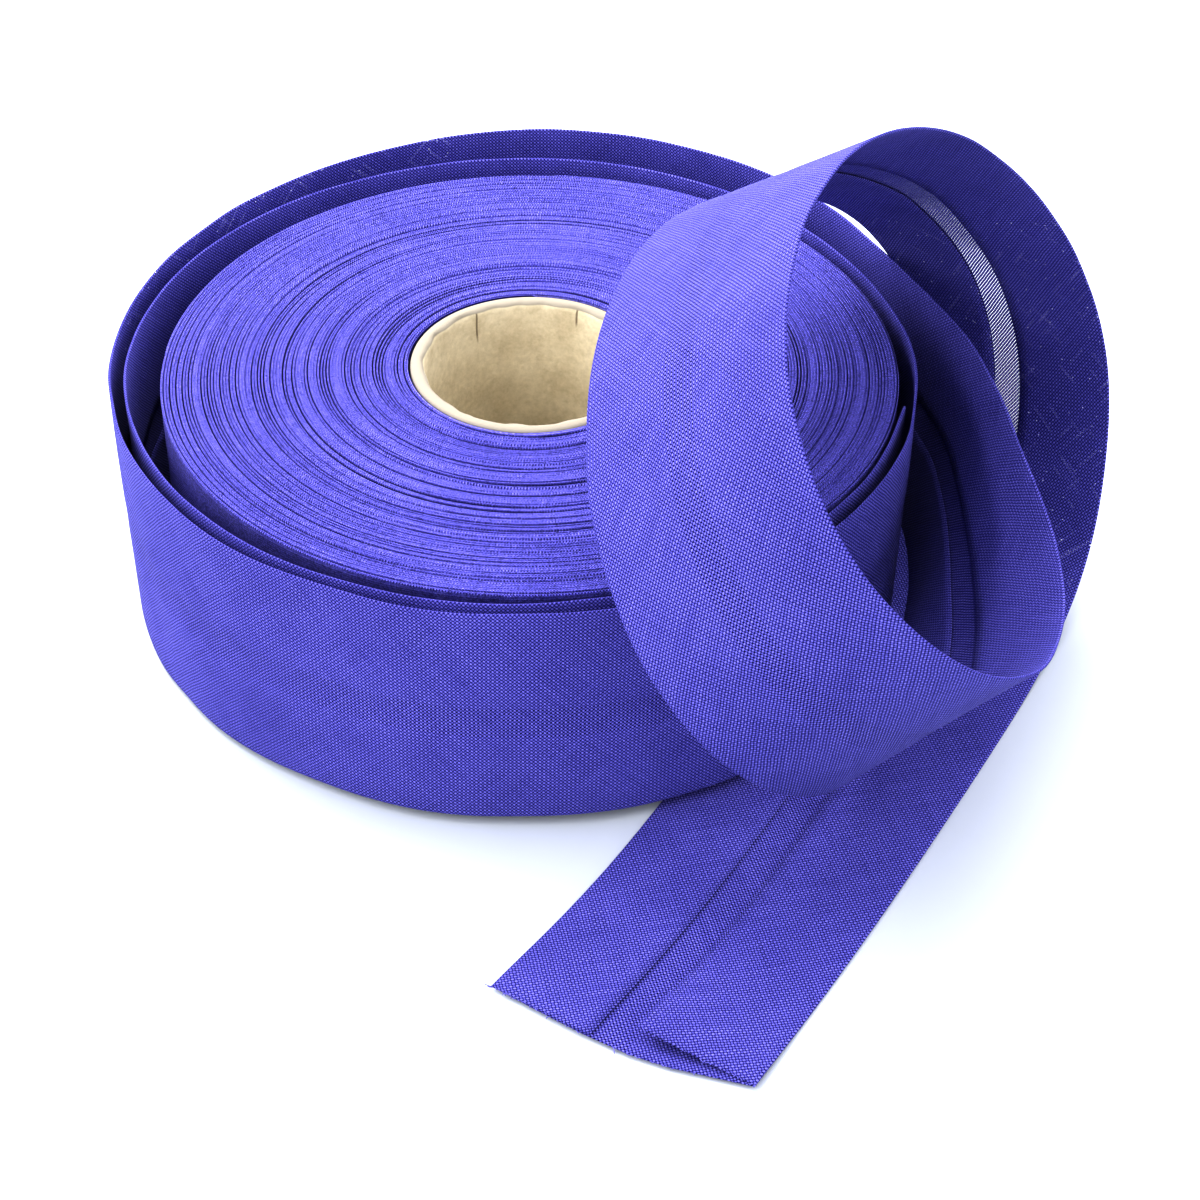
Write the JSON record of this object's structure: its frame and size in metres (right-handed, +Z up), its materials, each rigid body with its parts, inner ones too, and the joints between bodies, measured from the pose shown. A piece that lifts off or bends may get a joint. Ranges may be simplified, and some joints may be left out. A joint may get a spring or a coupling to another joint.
{
  "type": "bias binding roll",
  "caption": "Flat roll of wide folded bias binding on a cardboard tube, outer turns loose and the free end laid in a twisted loop.",
  "frame": {"origin": "middle of the floor area that the whole object covers, on the table surface", "axes": "+Z up from the table, roughly along the tube's axis; +Y away from the tail's cut end; +X towards the side with the loop"},
  "size_m": [0.1654, 0.1914, 0.0976],
  "materials": {
    "core": "plain paper board",
    "wound_roll": "plain woven cotton, folded edges",
    "loose_tape": "plain woven cotton, bias cut"
  },
  "bodies": {
    "root": {"core": "core", "wound_roll": "wound_roll", "loose_tape": "loose_tape"}
  },
  "joints": []
}
